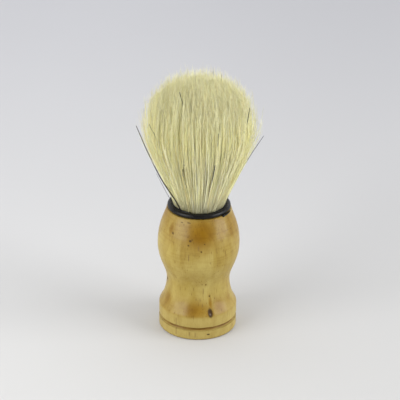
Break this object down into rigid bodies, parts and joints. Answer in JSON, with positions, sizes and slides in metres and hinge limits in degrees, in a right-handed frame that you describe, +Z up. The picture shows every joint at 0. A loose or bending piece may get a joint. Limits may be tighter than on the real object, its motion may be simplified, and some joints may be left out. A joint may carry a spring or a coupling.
{
  "type": "shaving brush",
  "caption": "Upright shaving brush: turned lacquered wooden handle with a waist and a grooved base, black ring collar, and a domed knot of pale natural bristle.",
  "frame": {"origin": "centre of the handle's flat underside, on the surface the brush stands on", "axes": "+Z up the turning axis from the underside to the tips of the bristles; X and Y are level, and the turned pieces look the same along either"},
  "size_m": [0.0432, 0.0432, 0.105],
  "materials": {
    "lacquered_wood": "light close-grained wood under clear gloss lacquer, thinner and duller on the base band",
    "collar_black": "semi-gloss moulded black plastic",
    "adhesive": "cured adhesive, cloudy amber",
    "resin": "cast resin, amber",
    "thread": "twisted undyed cotton thread",
    "bristle": "bleached natural bristle, cream to straw, with a few dark bristles"
  },
  "bodies": {
    "root": {"handle": "lacquered_wood", "collar": "collar_black", "socket_glue": "adhesive", "root_plug": "resin", "binding_thread": "thread", "bristle_knot": "bristle"}
  },
  "joints": []
}
